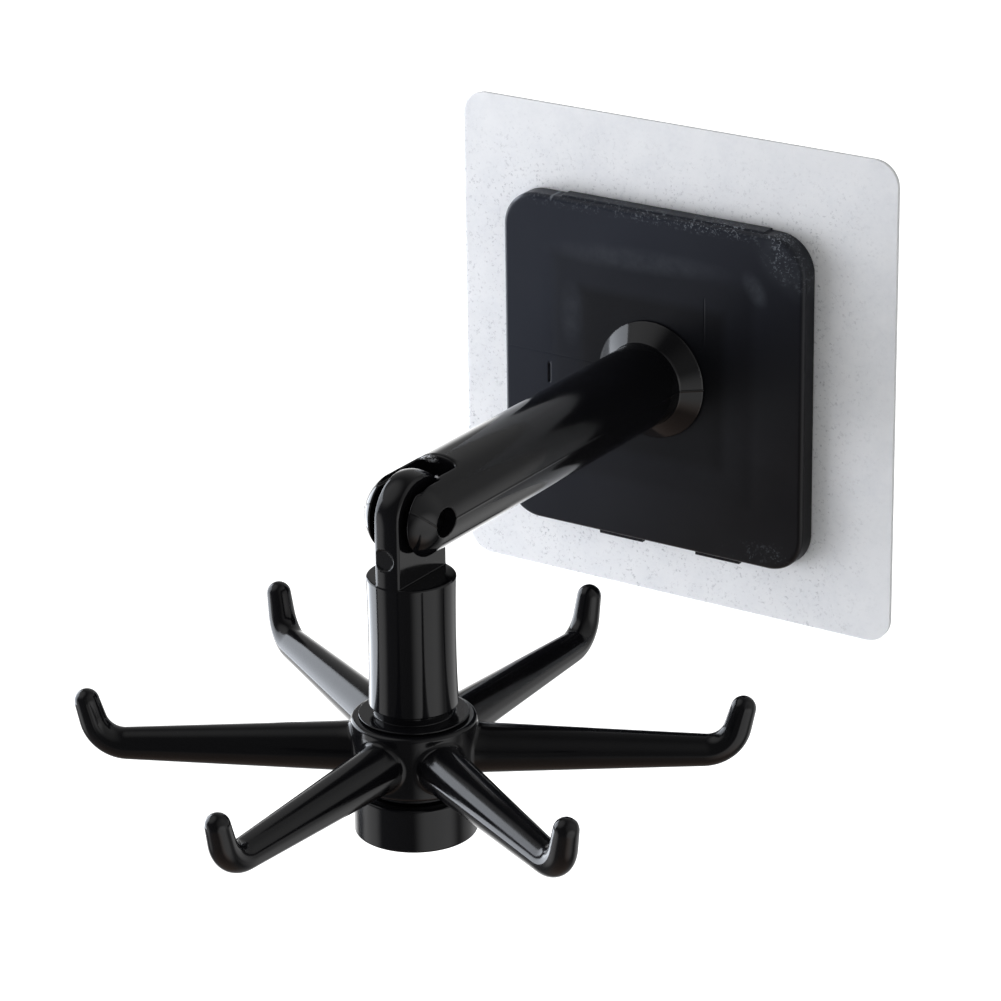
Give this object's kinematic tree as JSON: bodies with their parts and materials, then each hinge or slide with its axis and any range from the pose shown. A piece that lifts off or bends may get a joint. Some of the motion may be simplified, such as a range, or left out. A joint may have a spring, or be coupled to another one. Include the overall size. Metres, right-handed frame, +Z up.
{
  "type": "rotating closet hook",
  "caption": "Wall hook on an adhesive sheet: a square base carries a round arm, and a hinged column on it holds a spinning star of upturned hooks.",
  "frame": {"origin": "on the wall, on the back face of the adhesive layer, straight behind the arm's axis", "axes": "+Z up, +Y into the wall, -Y out of the wall along the arm, +X to the right for someone who faces the wall"},
  "size_m": [0.0898, 0.1246, 0.093],
  "materials": {
    "clear_adhesive": "clear acrylic adhesive, glossy",
    "frosted_film": "frosted PVC film, slightly mottled",
    "satin_black_abs": "moulded ABS, satin, with sink marks",
    "gloss_black_abs": "moulded ABS, high gloss",
    "zinc_plated_steel": "zinc plated",
    "black_nylon": "moulded nylon"
  },
  "bodies": {
    "fixed_base": {"adhesive_layer": "clear_adhesive", "carrier_film": "frosted_film", "base_rear_plate": "satin_black_abs", "base_cover": "satin_black_abs"},
    "swivel_arm": {"arm": "gloss_black_abs", "arm_washer": "zinc_plated_steel", "arm_screw": "zinc_plated_steel", "hinge_pin": "zinc_plated_steel"},
    "hinged_column": {"column": "gloss_black_abs", "spacer_washer": "black_nylon", "end_cap": "gloss_black_abs", "cap_screw": "zinc_plated_steel"},
    "spinning_star": {"hook_star": "gloss_black_abs"}
  },
  "joints": [
    {"name": "arm_swivel", "type": "hinge", "parent": "fixed_base", "child": "swivel_arm", "pos_m": [0, 0, 0], "axis": [0, 1, 0], "continuous": true},
    {"name": "column_fold", "type": "hinge", "parent": "swivel_arm", "child": "hinged_column", "pos_m": [0, -0.073, 0], "axis": [-1, 0, 0], "range_deg": [-7, 187]},
    {"name": "hook_spin", "type": "hinge", "parent": "hinged_column", "child": "spinning_star", "pos_m": [0, -0.073, 0], "axis": [0, 0, 1], "continuous": true}
  ]
}
